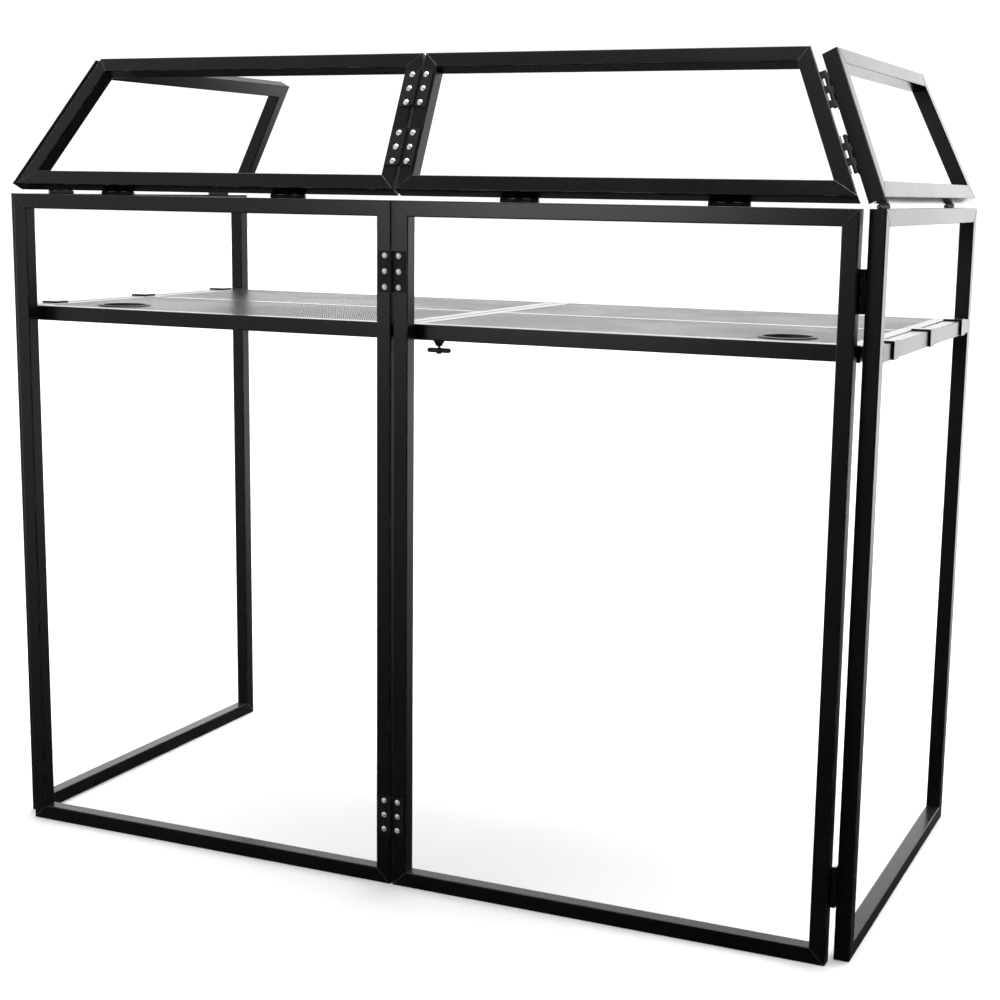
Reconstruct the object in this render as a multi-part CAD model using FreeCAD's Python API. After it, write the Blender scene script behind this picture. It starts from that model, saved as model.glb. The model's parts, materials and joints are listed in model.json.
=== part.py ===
"""Folding booth frame with a hooked-on, two-part perforated table.

Eight mitred square-tube frames stand in a U: two front frames, two side frames, and a slanted
upper frame hinged on top of each. All sizes are in millimetres.
The model is built with the front faces of the front frames at y = 0, x = 0 on the centre seam and
z = 0 on the floor, then moved back so that the origin is under the middle of its box.
"""
import FreeCAD
import Part
import math
import os

Vector = FreeCAD.Vector
X_DIR = Vector(1, 0, 0)
Y_DIR = Vector(0, 1, 0)
Z_DIR = Vector(0, 0, 1)

# Square tube of every frame
TUBE = 25.0
TUBE_WALL = 1.2
TUBE_CORNER_RADIUS = 1.8

# Lower frames
FRONT_FRAME_WIDTH = 733.0
FRAME_HEIGHT = 1122.0
SIDE_FRAME_DEPTH = 714.0
CENTRE_GAP = 5.0
CORNER_GAP = 3.0

# Upper frames, leaning inwards on their hinges
UPPER_SLANT_HEIGHT = 238.0
UPPER_TILT_DEG = 26.0
UPPER_GAP = 5.0
UPPER_END_INSET = 5.0

# Butt hinges, all of one size; the pinless ones at the top have wider gaps round their knuckles
LEAF_LENGTH = 64.0
LEAF_THICKNESS = 1.5
LEAF_REACH = 24.0
KNUCKLE_RADIUS = 3.0
KNUCKLE_COUNT = 5
KNUCKLE_GAP = 0.1
PINLESS_KNUCKLE_GAP = 0.5
LEAF_CUTBACK = 0.06
TOP_CORNER_LEAF_CUTBACK = 2.7
PIN_RADIUS = 1.5
PIN_CLEARANCE = 0.05
CENTRE_HINGE_FLOOR_INSET = 120.0
CENTRE_HINGE_TOP_INSET = 110.0
CORNER_HINGE_INSET = 116.0
UPPER_FRONT_HINGE_SEAM_INSET = 204.5
UPPER_FRONT_HINGE_CORNER_INSET = 198.0
UPPER_SIDE_HINGE_FRONT_INSET = 102.0
UPPER_SIDE_HINGE_REAR_INSET = 112.0
TOP_CENTRE_HINGE_LOW_INSET = 72.0
TOP_CENTRE_HINGE_HIGH_INSET = 64.0
TOP_CORNER_HINGE_LOW_INSET = 82.0
TOP_CORNER_HINGE_HIGH_INSET = 53.0

# Cross-slotted screws on the centre hinges
SCREW_PITCH = 24.4
SCREW_REACH = 12.2
SCREW_RADIUS = 2.0
SCREW_CLEARANCE = 0.05
SCREW_HEAD_RADIUS = 4.6
SCREW_HEAD_HEIGHT = 1.3
SCREW_TIP_LENGTH = 4.0
SCREW_SLOT_WIDTH = 1.0
SCREW_SLOT_LENGTH = 4.6
SCREW_SLOT_DEPTH = 0.6

# Table, hung below the top of the lower frames
TABLE_DROP = 193.0
TABLE_DEPTH = 664.0
TABLE_FRONT_GAP = 12.0
TABLE_SIDE_GAP = 4.0
TABLE_SEAM_GAP = 1.5
MESH_THICKNESS = 1.0
MESH_RECESS = 0.3

# Hooks that hang the table on the side rails
HOOK_WIDTH = 32.0
HOOK_THICKNESS = 3.0
HOOK_BEND_RADIUS = 2.0
HOOK_FRONT_INSET = 89.0
HOOK_REAR_INSET = 43.0
HOOK_SIDE_CLEARANCE = 0.5

# Cable ports, for an 80 mm hole
PORT_EDGE_DISTANCE = 133.5
PORT_FRONT_DISTANCE = 91.5
PORT_BORE_RADIUS = 37.5
PORT_NECK_WALL = 2.4
PORT_NECK_DEPTH = 11.0
PORT_RIM_RADIUS = 45.0
PORT_RIM_HEIGHT = 2.0
PORT_RIM_ROUND = 1.4
PORT_CLEARANCE = 0.1

# Seam clamp: a cone under the table, and its T-handled screw
CLAMP_SETBACK = 129.0
CLAMP_DROP = 20.5
CLAMP_TOP_RADIUS = 16.0
CLAMP_FOOT_RADIUS = 4.5
CLAMP_STUD_RADIUS = 2.5
CLAMP_STUD_CLEARANCE = 0.05
CLAMP_NUT_HEIGHT = 4.0
CLAMP_NUT_FLATS = 8.0
CLAMP_NUT_CLEARANCE = 0.3
CLAMP_NUT_COVER = 1.0
HANDLE_GAP = 3.0
HANDLE_BAR_LENGTH = 43.0
HANDLE_BAR_RADIUS = 4.0
HANDLE_HUB_RADIUS = 5.5
HANDLE_HUB_HEIGHT = 10.0
HANDLE_HUB_ROUND = 3.5

# Places worked out from the sizes above
FRONT_HALF_WIDTH = CENTRE_GAP / 2 + FRONT_FRAME_WIDTH
CORNER_AXIS_X = FRONT_HALF_WIDTH + CORNER_GAP
SIDE_INNER_X = CORNER_AXIS_X + KNUCKLE_RADIUS
SIDE_OUTER_X = SIDE_INNER_X + TUBE
FOLD_AXIS_Y = TUBE + KNUCKLE_RADIUS
SIDE_FRONT_Y = FOLD_AXIS_Y + KNUCKLE_RADIUS
SIDE_REAR_Y = SIDE_FRONT_Y + SIDE_FRAME_DEPTH
FRONT_AXIS_Y = -KNUCKLE_RADIUS
UPPER_AXIS_Z = FRAME_HEIGHT + UPPER_GAP / 2
UPPER_BOTTOM_Z = FRAME_HEIGHT + UPPER_GAP
END_SLOPE = math.sin(math.radians(UPPER_TILT_DEG))
CENTRE_HINGE_HEIGHTS = (CENTRE_HINGE_FLOOR_INSET, FRAME_HEIGHT - CENTRE_HINGE_TOP_INSET)
CORNER_HINGE_HEIGHTS = (CORNER_HINGE_INSET, FRAME_HEIGHT - CORNER_HINGE_INSET)
UPPER_FRONT_HINGE_X = (UPPER_FRONT_HINGE_SEAM_INSET, FRONT_HALF_WIDTH - UPPER_FRONT_HINGE_CORNER_INSET)
UPPER_SIDE_HINGE_SETBACKS = (UPPER_SIDE_HINGE_FRONT_INSET, SIDE_FRAME_DEPTH - UPPER_SIDE_HINGE_REAR_INSET)
TOP_CENTRE_HINGE_HEIGHTS = (TOP_CENTRE_HINGE_LOW_INSET, UPPER_SLANT_HEIGHT - TOP_CENTRE_HINGE_HIGH_INSET)
TOP_CORNER_HINGE_HEIGHTS = (TOP_CORNER_HINGE_LOW_INSET, UPPER_SLANT_HEIGHT - TOP_CORNER_HINGE_HIGH_INSET)
TABLE_TOP_HEIGHT = FRAME_HEIGHT - TABLE_DROP
TABLE_FRONT_Y = TUBE + TABLE_FRONT_GAP
TABLE_REAR_Y = TABLE_FRONT_Y + TABLE_DEPTH
TABLE_MID_Y = (TABLE_FRONT_Y + TABLE_REAR_Y) / 2
TABLE_INNER_X = TABLE_SEAM_GAP / 2
TABLE_OUTER_X = SIDE_INNER_X - TABLE_SIDE_GAP
TABLE_BOTTOM_Z = TABLE_TOP_HEIGHT - TUBE
MESH_TOP_Z = TABLE_TOP_HEIGHT - MESH_RECESS
MESH_BOTTOM_Z = MESH_TOP_Z - MESH_THICKNESS
PORT_X = TABLE_OUTER_X - PORT_EDGE_DISTANCE
PORT_Y = TABLE_FRONT_Y + PORT_FRONT_DISTANCE
PORT_NECK_RADIUS = PORT_BORE_RADIUS + PORT_NECK_WALL
CLAMP_Y = TABLE_FRONT_Y + CLAMP_SETBACK
CLAMP_BOTTOM_Z = TABLE_BOTTOM_Z - CLAMP_DROP
CLAMP_NUT_TOP_Z = TABLE_BOTTOM_Z - CLAMP_NUT_COVER
CLAMP_NUT_FLOOR_Z = CLAMP_NUT_TOP_Z - CLAMP_NUT_HEIGHT
CLAMP_NUT_CORNER_RADIUS = CLAMP_NUT_FLATS / math.sqrt(3)
HOOK_FIRST_Y = TABLE_FRONT_Y + HOOK_FRONT_INSET
HOOK_LAST_Y = TABLE_REAR_Y - HOOK_REAR_INSET
ORIGIN_SHIFT = Vector(0, -(SIDE_REAR_Y + FRONT_AXIS_Y - KNUCKLE_RADIUS) / 2, 0)


# Small helpers

def box(low, high):
    """A box between two corners."""
    size = [b - a for a, b in zip(low, high)]
    return Part.makeBox(*size, Vector(*low))


def rod(radius, length, start, direction):
    return Part.makeCylinder(radius, length, start, direction)


def prism(points, height):
    """A flat polygon of Vectors, raised along +Z."""
    return Part.Face(Part.makePolygon(points + points[:1])).extrude(Vector(0, 0, height))


def placed(shape, origin, x_dir, y_dir):
    """The shape carried from its own axes to the given ones."""
    z_dir = x_dir.cross(y_dir)
    matrix = FreeCAD.Matrix(x_dir.x, y_dir.x, z_dir.x, origin.x,
                            x_dir.y, y_dir.y, z_dir.y, origin.y,
                            x_dir.z, y_dir.z, z_dir.z, origin.z)
    moved = shape.copy()
    moved.Placement = FreeCAD.Placement(matrix).multiply(shape.Placement)
    return moved


def mirrored(shapes):
    """The same pieces on the other side of the centre seam."""
    return [shape.mirror(Vector(0, 0, 0), X_DIR) for shape in shapes]


def tilted_front(shapes):
    """Upright front pieces leant back on the front frames' upper hinges."""
    return [turned(shape, Vector(0, FOLD_AXIS_Y, UPPER_AXIS_Z), X_DIR) for shape in shapes]


def tilted_side(shapes):
    """Upright right-hand side pieces leant inwards on the side frame's upper hinges."""
    return [turned(shape, Vector(CORNER_AXIS_X, 0, UPPER_AXIS_Z), Y_DIR) for shape in shapes]


def turned(shape, centre, axis):
    copy = shape.copy()
    copy.rotate(centre, axis, -UPPER_TILT_DEG)
    return copy


# Mitred tube frames

def inset(corners, distance):
    """The corners of a convex outline, given anticlockwise, moved in by a distance."""
    moved = []
    for i, corner in enumerate(corners):
        before = (corner - corners[i - 1]).normalize()
        after = (corners[(i + 1) % len(corners)] - corner).normalize()
        normal_before = Z_DIR.cross(before)
        normal_after = Z_DIR.cross(after)
        scale = distance / (1 + normal_before.dot(normal_after))
        moved.append(corner + (normal_before + normal_after) * scale)
    return moved


def rounded_square(size, radius, inset_by):
    """A wire round a square of the given size, centred, drawn in the YZ plane."""
    half = size / 2 - inset_by
    plate = Part.makeBox(1, 2 * half, 2 * half, Vector(0, -half, -half))
    long_edges = [e for e in plate.Edges if abs(e.tangentAt(e.FirstParameter).x) > 0.9]
    rounded = plate.makeFillet(max(radius - inset_by, radius / 3), long_edges)
    face = min(rounded.Faces, key=lambda f: f.CenterOfMass.x)
    return face.OuterWire


def tube_blank(length):
    """A straight hollow square tube along +X, with its outer corner edge on the X axis."""
    outer = Part.Face(rounded_square(TUBE, TUBE_CORNER_RADIUS, 0)).extrude(X_DIR * length)
    bore = Part.Face(rounded_square(TUBE, TUBE_CORNER_RADIUS, TUBE_WALL)).extrude(X_DIR * length)
    tube = outer.cut(bore)
    tube.translate(Vector(0, TUBE / 2, TUBE / 2))
    return tube


def mitred_frame(corners):
    """Tubes along each side of an outline, given anticlockwise in XY, cut to mitres."""
    overrun = TUBE
    outside = inset(corners, -overrun)
    inside = inset(corners, TUBE + TUBE_WALL)
    tubes = []
    for i, start in enumerate(corners):
        j = (i + 1) % len(corners)
        along = corners[j] - start
        direction = Vector(along).normalize()
        blank = tube_blank(along.Length + 4 * overrun)
        blank = placed(blank, start - direction * 2 * overrun, direction, Z_DIR.cross(direction))
        wedge = prism([outside[i], outside[j], inside[j], inside[i]], TUBE + 2 * overrun)
        wedge.translate(Vector(0, 0, -overrun))
        tubes.append(blank.common(wedge).Solids[0])
    return tubes


def rectangle(width, height):
    return [Vector(0, 0, 0), Vector(width, 0, 0), Vector(width, height, 0), Vector(0, height, 0)]


def facing_front(shapes, x, z):
    """Pieces drawn in XY stood upright with their front faces at y = 0."""
    return [placed(s, Vector(x, TUBE, z), X_DIR, Z_DIR) for s in shapes]


def facing_side(shapes, z):
    """Pieces drawn in XY stood upright along the right-hand side, back from its front edge."""
    return [placed(s, Vector(SIDE_INNER_X, SIDE_FRONT_Y, z), Y_DIR, Z_DIR) for s in shapes]


def front_frame():
    return facing_front(mitred_frame(rectangle(FRONT_FRAME_WIDTH, FRAME_HEIGHT)), CENTRE_GAP / 2, 0)


def side_frame():
    return facing_side(mitred_frame(rectangle(SIDE_FRAME_DEPTH, FRAME_HEIGHT)), 0)


def upper_front_frame():
    """Square at the centre, slanted at the corner so that it meets the side's upper frame."""
    width = FRONT_HALF_WIDTH - UPPER_END_INSET - CENTRE_GAP / 2
    corners = rectangle(width, UPPER_SLANT_HEIGHT)
    corners[2].x -= UPPER_SLANT_HEIGHT * END_SLOPE
    return facing_front(mitred_frame(corners), CENTRE_GAP / 2, UPPER_BOTTOM_Z)


def upper_side_frame():
    corners = rectangle(SIDE_FRAME_DEPTH, UPPER_SLANT_HEIGHT)
    corners[3].x += UPPER_SLANT_HEIGHT * END_SLOPE
    return facing_side(mitred_frame(corners), UPPER_BOTTOM_Z)


def table_rail():
    """The cross tube of the right-hand side frame that the table hooks onto."""
    rail = tube_blank(SIDE_FRAME_DEPTH - 2 * TUBE)
    start = Vector(SIDE_INNER_X, SIDE_FRONT_Y + TUBE, TABLE_BOTTOM_Z)
    return [placed(rail, start, Y_DIR, Z_DIR)]


# Butt hinges

def knuckle_spans(first, gap):
    """The lower and upper ends of every second knuckle, measured from the leaf's middle."""
    pitch = LEAF_LENGTH / KNUCKLE_COUNT
    for i in range(first, KNUCKLE_COUNT, 2):
        low = -LEAF_LENGTH / 2 + i * pitch
        yield low + gap / 2, low + pitch - gap / 2


def hinge_leaf(first_knuckle, gap, cutback):
    """A leaf along +X with its pin axis on Z and its mounting face at y = KNUCKLE_RADIUS."""
    face_y = KNUCKLE_RADIUS
    half = LEAF_LENGTH / 2
    root = math.sqrt((KNUCKLE_RADIUS + cutback) ** 2 - (face_y - LEAF_THICKNESS) ** 2)
    leaf = box((root, face_y - LEAF_THICKNESS, -half), (LEAF_REACH, face_y, half))
    bore_radius = PIN_RADIUS + PIN_CLEARANCE
    for low, high in knuckle_spans(first_knuckle, gap):
        arm = box((0, face_y - LEAF_THICKNESS, low), (root, face_y, high))
        knuckle = rod(KNUCKLE_RADIUS, high - low, Vector(0, 0, low), Z_DIR)
        leaf = leaf.fuse([arm, knuckle])
    bore = rod(bore_radius, LEAF_LENGTH, Vector(0, 0, -half), Z_DIR)
    return leaf.cut(bore).removeSplitter().Solids[0]


def hinge_pin(centre, direction):
    return rod(PIN_RADIUS, LEAF_LENGTH, centre - direction * LEAF_LENGTH / 2, direction)


THREE_KNUCKLE_LEAF = hinge_leaf(0, KNUCKLE_GAP, LEAF_CUTBACK)
TWO_KNUCKLE_LEAF = hinge_leaf(1, KNUCKLE_GAP, LEAF_CUTBACK)
TOP_CENTRE_LEAVES = [hinge_leaf(first, PINLESS_KNUCKLE_GAP, LEAF_CUTBACK) for first in (0, 1)]
TOP_CORNER_LEAVES = [hinge_leaf(first, PINLESS_KNUCKLE_GAP, TOP_CORNER_LEAF_CUTBACK) for first in (1, 0)]


def screw_spots():
    """Where a leaf's screws pass through it, in the leaf's own axes."""
    return [Vector(SCREW_REACH, KNUCKLE_RADIUS, k * SCREW_PITCH) for k in (-1, 0, 1)]


def screw(spot):
    """A low domed screw with a cross slot, its head on the leaf's outer face."""
    seat = Vector(spot.x, spot.y - LEAF_THICKNESS, spot.z)
    sphere_radius = (SCREW_HEAD_RADIUS ** 2 + SCREW_HEAD_HEIGHT ** 2) / (2 * SCREW_HEAD_HEIGHT)
    dome = Part.makeSphere(sphere_radius, seat + Y_DIR * (sphere_radius - SCREW_HEAD_HEIGHT))
    head = dome.common(rod(SCREW_HEAD_RADIUS * 2, SCREW_HEAD_HEIGHT, seat, -Y_DIR))
    shank = rod(SCREW_RADIUS, LEAF_THICKNESS + SCREW_TIP_LENGTH, seat, Y_DIR)
    body = head.fuse(shank)
    floor_y = seat.y - SCREW_HEAD_HEIGHT + SCREW_SLOT_DEPTH
    long_half = SCREW_SLOT_LENGTH / 2
    wide_half = SCREW_SLOT_WIDTH / 2
    for half_x, half_z in ((long_half, wide_half), (wide_half, long_half)):
        slot = box((spot.x - half_x, seat.y - 2 * SCREW_HEAD_HEIGHT, spot.z - half_z),
                   (spot.x + half_x, floor_y, spot.z + half_z))
        body = body.cut(slot)
    return body.Solids[0]


def screw_hole(spot, depth):
    """The clearance hole of a screw, through the leaf and a given depth behind its face."""
    start = Vector(spot.x, spot.y - LEAF_THICKNESS, spot.z)
    return rod(SCREW_RADIUS + SCREW_CLEARANCE, LEAF_THICKNESS + depth, start, Y_DIR)


def screwed_leaf(leaf):
    return leaf.cut([screw_hole(spot, 0) for spot in screw_spots()]).Solids[0]


def on_front(shape, side, height):
    """A leaf piece on the front faces at the centre seam; side is 1 for right and -1 for left."""
    return placed(shape, Vector(0, FRONT_AXIS_Y, height), X_DIR * side, Y_DIR)


def front_hinge(leaf, side, heights):
    """Leaves, screws and the holes that the screws need in the frame behind."""
    leaves = [on_front(screwed_leaf(leaf), side, z) for z in heights]
    screws = [on_front(screw(spot), side, z) for z in heights for spot in screw_spots()]
    holes = [on_front(screw_hole(spot, 2 * TUBE_WALL), side, z) for z in heights for spot in screw_spots()]
    return leaves, screws, holes


def drilled(tubes, holes):
    return [tube.cut(holes).Solids[0] for tube in tubes]


def corner_hinges():
    """Leaves on the inside of the right-hand corner, and their pins."""
    front_leaves = []
    side_leaves = []
    pins = []
    for z in CORNER_HINGE_HEIGHTS:
        axis_point = Vector(CORNER_AXIS_X, FOLD_AXIS_Y, z)
        front_leaves.append(placed(THREE_KNUCKLE_LEAF, axis_point, -X_DIR, -Y_DIR))
        side_leaves.append(placed(TWO_KNUCKLE_LEAF, axis_point, Y_DIR, X_DIR))
        pins.append(hinge_pin(axis_point, Z_DIR))
    return front_leaves, side_leaves, pins


def upper_front_hinges():
    """Right-hand hinges between a front frame and its upper frame, built upright."""
    lower = []
    upper = []
    pins = []
    for x in UPPER_FRONT_HINGE_X:
        axis_point = Vector(x, FOLD_AXIS_Y, UPPER_AXIS_Z)
        lower.append(placed(TWO_KNUCKLE_LEAF, axis_point, -Z_DIR, -Y_DIR))
        upper.append(placed(THREE_KNUCKLE_LEAF, axis_point, Z_DIR, -Y_DIR))
        pins.append(hinge_pin(axis_point, X_DIR))
    return lower, upper, pins


def upper_side_hinges():
    lower = []
    upper = []
    pins = []
    for setback in UPPER_SIDE_HINGE_SETBACKS:
        axis_point = Vector(CORNER_AXIS_X, SIDE_FRONT_Y + setback, UPPER_AXIS_Z)
        lower.append(placed(TWO_KNUCKLE_LEAF, axis_point, -Z_DIR, X_DIR))
        upper.append(placed(THREE_KNUCKLE_LEAF, axis_point, Z_DIR, X_DIR))
        pins.append(hinge_pin(axis_point, Y_DIR))
    return lower, upper, pins


def top_corner_hinges():
    """Leaves along the slanted corner, built upright on their own frames.

    Both axes start at the point where the corner's other hinge axes meet, so they line up
    when the frames lean in. These hinges have no pins: the fold is opened here.
    The upper hinge of the two is fitted the other way round.
    """
    across = math.hypot(1, END_SLOPE)
    front_along = Vector(-END_SLOPE, 0, 1) / across
    side_along = Vector(0, END_SLOPE, 1) / across
    leaf_pairs = (TOP_CORNER_LEAVES, TOP_CORNER_LEAVES[::-1])
    front_leaves = []
    side_leaves = []
    for height, (front_leaf, side_leaf) in zip(TOP_CORNER_HINGE_HEIGHTS, leaf_pairs):
        corner = Vector(CORNER_AXIS_X, FOLD_AXIS_Y, UPPER_AXIS_Z)
        front_leaves.append(placed(front_leaf, corner + front_along * height * across,
                                   front_along.cross(Y_DIR), -Y_DIR))
        side_leaves.append(placed(side_leaf, corner + side_along * height * across,
                                  side_along.cross(-X_DIR) * -1, X_DIR))
    return front_leaves, side_leaves


# Table

def table_frame():
    """The right-hand half: a mitred border and one cross tube between its ends."""
    width = TABLE_OUTER_X - TABLE_INNER_X
    border = mitred_frame(rectangle(width, TABLE_DEPTH))
    start = Vector(TABLE_INNER_X, TABLE_FRONT_Y, TABLE_BOTTOM_Z)
    cross = tube_blank(width - 2 * TUBE)
    cross_start = Vector(TABLE_INNER_X + TUBE, TABLE_MID_Y - TUBE / 2, TABLE_BOTTOM_Z)
    return [placed(t, start, X_DIR, Y_DIR) for t in border] + [placed(cross, cross_start, X_DIR, Y_DIR)]


def table_sheets():
    """The perforated sheets of the right-hand half, front and rear, let in between the tubes."""
    left = TABLE_INNER_X + TUBE
    right = TABLE_OUTER_X - TUBE
    middle_front = TABLE_MID_Y - TUBE / 2
    middle_rear = TABLE_MID_Y + TUBE / 2
    front = box((left, TABLE_FRONT_Y + TUBE, MESH_BOTTOM_Z), (right, middle_front, MESH_TOP_Z))
    rear = box((left, middle_rear, MESH_BOTTOM_Z), (right, TABLE_REAR_Y - TUBE, MESH_TOP_Z))
    hole = rod(PORT_NECK_RADIUS + PORT_CLEARANCE, TUBE, Vector(PORT_X, PORT_Y, TABLE_BOTTOM_Z), Z_DIR)
    return [front.cut(hole).Solids[0]], [rear]


def cable_port():
    """A flanged ring let into the front sheet."""
    rim_start = Vector(PORT_X, PORT_Y, MESH_TOP_Z)
    rim = rod(PORT_RIM_RADIUS, PORT_RIM_HEIGHT, rim_start, Z_DIR)
    top_edge = [e for e in rim.Edges if e.BoundBox.ZMin > MESH_TOP_Z + PORT_RIM_HEIGHT / 2]
    rim = rim.makeFillet(PORT_RIM_ROUND, top_edge)
    neck = rod(PORT_NECK_RADIUS, PORT_NECK_DEPTH, rim_start, -Z_DIR)
    through = PORT_NECK_DEPTH + PORT_RIM_HEIGHT
    bore = rod(PORT_BORE_RADIUS, through, rim_start - Z_DIR * PORT_NECK_DEPTH, Z_DIR)
    return [rim.fuse(neck).cut(bore).removeSplitter().Solids[0]]


def table_hooks():
    """Bent straps: up the outside of the table's end tube, over the rail and down its outside."""
    leg_x = TABLE_OUTER_X + HOOK_THICKNESS
    bend_x = SIDE_OUTER_X + HOOK_SIDE_CLEARANCE
    outer_x = bend_x + HOOK_THICKNESS
    top_z = TABLE_TOP_HEIGHT + HOOK_THICKNESS
    outline = [Vector(TABLE_OUTER_X, 0, TABLE_BOTTOM_Z), Vector(leg_x, 0, TABLE_BOTTOM_Z),
               Vector(leg_x, 0, TABLE_TOP_HEIGHT), Vector(bend_x, 0, TABLE_TOP_HEIGHT),
               Vector(bend_x, 0, TABLE_BOTTOM_Z), Vector(outer_x, 0, TABLE_BOTTOM_Z),
               Vector(outer_x, 0, top_z), Vector(TABLE_OUTER_X, 0, top_z)]
    strap = Part.Face(Part.makePolygon(outline + outline[:1])).extrude(Y_DIR * HOOK_WIDTH)
    top_edges = [e for e in strap.Edges if e.BoundBox.ZMin > top_z - HOOK_THICKNESS / 2]
    bends = [e for e in top_edges if e.BoundBox.YLength > HOOK_WIDTH / 2]
    strap = strap.makeFillet(HOOK_BEND_RADIUS, bends)
    hooks = []
    for y in (HOOK_FIRST_Y, (HOOK_FIRST_Y + HOOK_LAST_Y) / 2, HOOK_LAST_Y):
        hook = strap.copy()
        hook.translate(Vector(0, y - HOOK_WIDTH / 2, 0))
        hooks.append(hook)
    return hooks


def clamp_point(z):
    return Vector(0, CLAMP_Y, z)


def clamp_cone():
    """A cone bearing on both seam tubes from below, bored for the stud and sunk for the nut."""
    cone = Part.makeCone(CLAMP_FOOT_RADIUS, CLAMP_TOP_RADIUS, CLAMP_DROP, clamp_point(CLAMP_BOTTOM_Z), Z_DIR)
    hole = rod(CLAMP_STUD_RADIUS + CLAMP_STUD_CLEARANCE, CLAMP_DROP, clamp_point(CLAMP_BOTTOM_Z), Z_DIR)
    pocket_depth = TABLE_BOTTOM_Z - CLAMP_NUT_FLOOR_Z
    pocket_radius = CLAMP_NUT_CORNER_RADIUS + CLAMP_NUT_CLEARANCE
    pocket = rod(pocket_radius, pocket_depth, clamp_point(CLAMP_NUT_FLOOR_Z), Z_DIR)
    return [cone.cut([hole, pocket]).Solids[0]]


def clamp_nut():
    """A hexagon nut on the floor of the cone's pocket."""
    floor = clamp_point(CLAMP_NUT_FLOOR_Z)
    angles = [math.radians(60 * k + 30) for k in range(6)]
    hexagon = [floor + Vector(math.cos(a), math.sin(a), 0) * CLAMP_NUT_CORNER_RADIUS for a in angles]
    nut = prism(hexagon, CLAMP_NUT_HEIGHT)
    hole = rod(CLAMP_STUD_RADIUS + CLAMP_STUD_CLEARANCE, CLAMP_NUT_HEIGHT, floor, Z_DIR)
    return [nut.cut(hole).Solids[0]]


def clamp_screw():
    """The stud, from the handle's hub up through the cone and nut."""
    hub_top = CLAMP_BOTTOM_Z - HANDLE_GAP
    return [rod(CLAMP_STUD_RADIUS, CLAMP_NUT_TOP_Z - hub_top, clamp_point(hub_top), Z_DIR)]


def clamp_handle():
    """A T-handle: a round-ended bar through a domed hub."""
    hub_top = CLAMP_BOTTOM_Z - HANDLE_GAP
    hub = rod(HANDLE_HUB_RADIUS, HANDLE_HUB_HEIGHT, clamp_point(hub_top - HANDLE_HUB_HEIGHT), Z_DIR)
    bottom_edge = [e for e in hub.Edges if e.BoundBox.ZMax < hub_top - HANDLE_HUB_HEIGHT / 2]
    hub = hub.makeFillet(HANDLE_HUB_ROUND, bottom_edge)
    bar_z = hub_top - HANDLE_BAR_RADIUS
    straight = HANDLE_BAR_LENGTH - 2 * HANDLE_BAR_RADIUS
    bar_start = clamp_point(bar_z) - X_DIR * straight / 2
    bar = rod(HANDLE_BAR_RADIUS, straight, bar_start, X_DIR)
    ends = [Part.makeSphere(HANDLE_BAR_RADIUS, bar_start + X_DIR * step) for step in (0, straight)]
    return [hub.fuse([bar] + ends).removeSplitter().Solids[0]]


# The whole booth

def lower_pieces():
    pieces = {}
    right_leaves, right_screws, right_holes = front_hinge(THREE_KNUCKLE_LEAF, 1, CENTRE_HINGE_HEIGHTS)
    left_leaves, left_screws, left_holes = front_hinge(TWO_KNUCKLE_LEAF, -1, CENTRE_HINGE_HEIGHTS)
    pieces["front_right_frame"] = drilled(front_frame(), right_holes)
    pieces["front_left_frame"] = drilled(mirrored(front_frame()), left_holes)
    pieces["front_hinge_right_leaves"] = right_leaves
    pieces["front_hinge_left_leaves"] = left_leaves
    pieces["front_hinge_right_screws"] = right_screws
    pieces["front_hinge_left_screws"] = left_screws
    pieces["front_hinge_pins"] = [hinge_pin(Vector(0, FRONT_AXIS_Y, z), Z_DIR) for z in CENTRE_HINGE_HEIGHTS]
    corner_front, corner_side, corner_pins = corner_hinges()
    add_pair(pieces, "side_{}_frame", side_frame())
    add_pair(pieces, "side_{}_table_rail", table_rail())
    add_pair(pieces, "corner_{}_front_leaves", corner_front)
    add_pair(pieces, "corner_{}_side_leaves", corner_side)
    add_pair(pieces, "corner_{}_pins", corner_pins)
    return pieces


def upper_pieces():
    pieces = {}
    heights = [UPPER_BOTTOM_Z + z for z in TOP_CENTRE_HINGE_HEIGHTS]
    right_leaf, left_leaf = TOP_CENTRE_LEAVES
    right_leaves, right_screws, right_holes = front_hinge(right_leaf, 1, heights)
    left_leaves, left_screws, left_holes = front_hinge(left_leaf, -1, heights)
    pieces["upper_front_right_frame"] = tilted_front(drilled(upper_front_frame(), right_holes))
    pieces["upper_front_left_frame"] = tilted_front(drilled(mirrored(upper_front_frame()), left_holes))
    pieces["top_hinge_right_leaves"] = tilted_front(right_leaves)
    pieces["top_hinge_left_leaves"] = tilted_front(left_leaves)
    pieces["top_hinge_right_screws"] = tilted_front(right_screws)
    pieces["top_hinge_left_screws"] = tilted_front(left_screws)
    front_lower, front_upper, front_pins = upper_front_hinges()
    side_lower, side_upper, side_pins = upper_side_hinges()
    corner_front, corner_side = top_corner_hinges()
    add_pair(pieces, "upper_side_{}_frame", tilted_side(upper_side_frame()))
    add_pair(pieces, "front_{}_fold_lower_leaves", front_lower)
    add_pair(pieces, "front_{}_fold_upper_leaves", tilted_front(front_upper))
    add_pair(pieces, "front_{}_fold_pins", front_pins)
    add_pair(pieces, "side_{}_fold_lower_leaves", side_lower)
    add_pair(pieces, "side_{}_fold_upper_leaves", tilted_side(side_upper))
    add_pair(pieces, "side_{}_fold_pins", side_pins)
    add_pair(pieces, "top_corner_{}_front_leaves", tilted_front(corner_front))
    add_pair(pieces, "top_corner_{}_side_leaves", tilted_side(corner_side))
    return pieces


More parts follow.
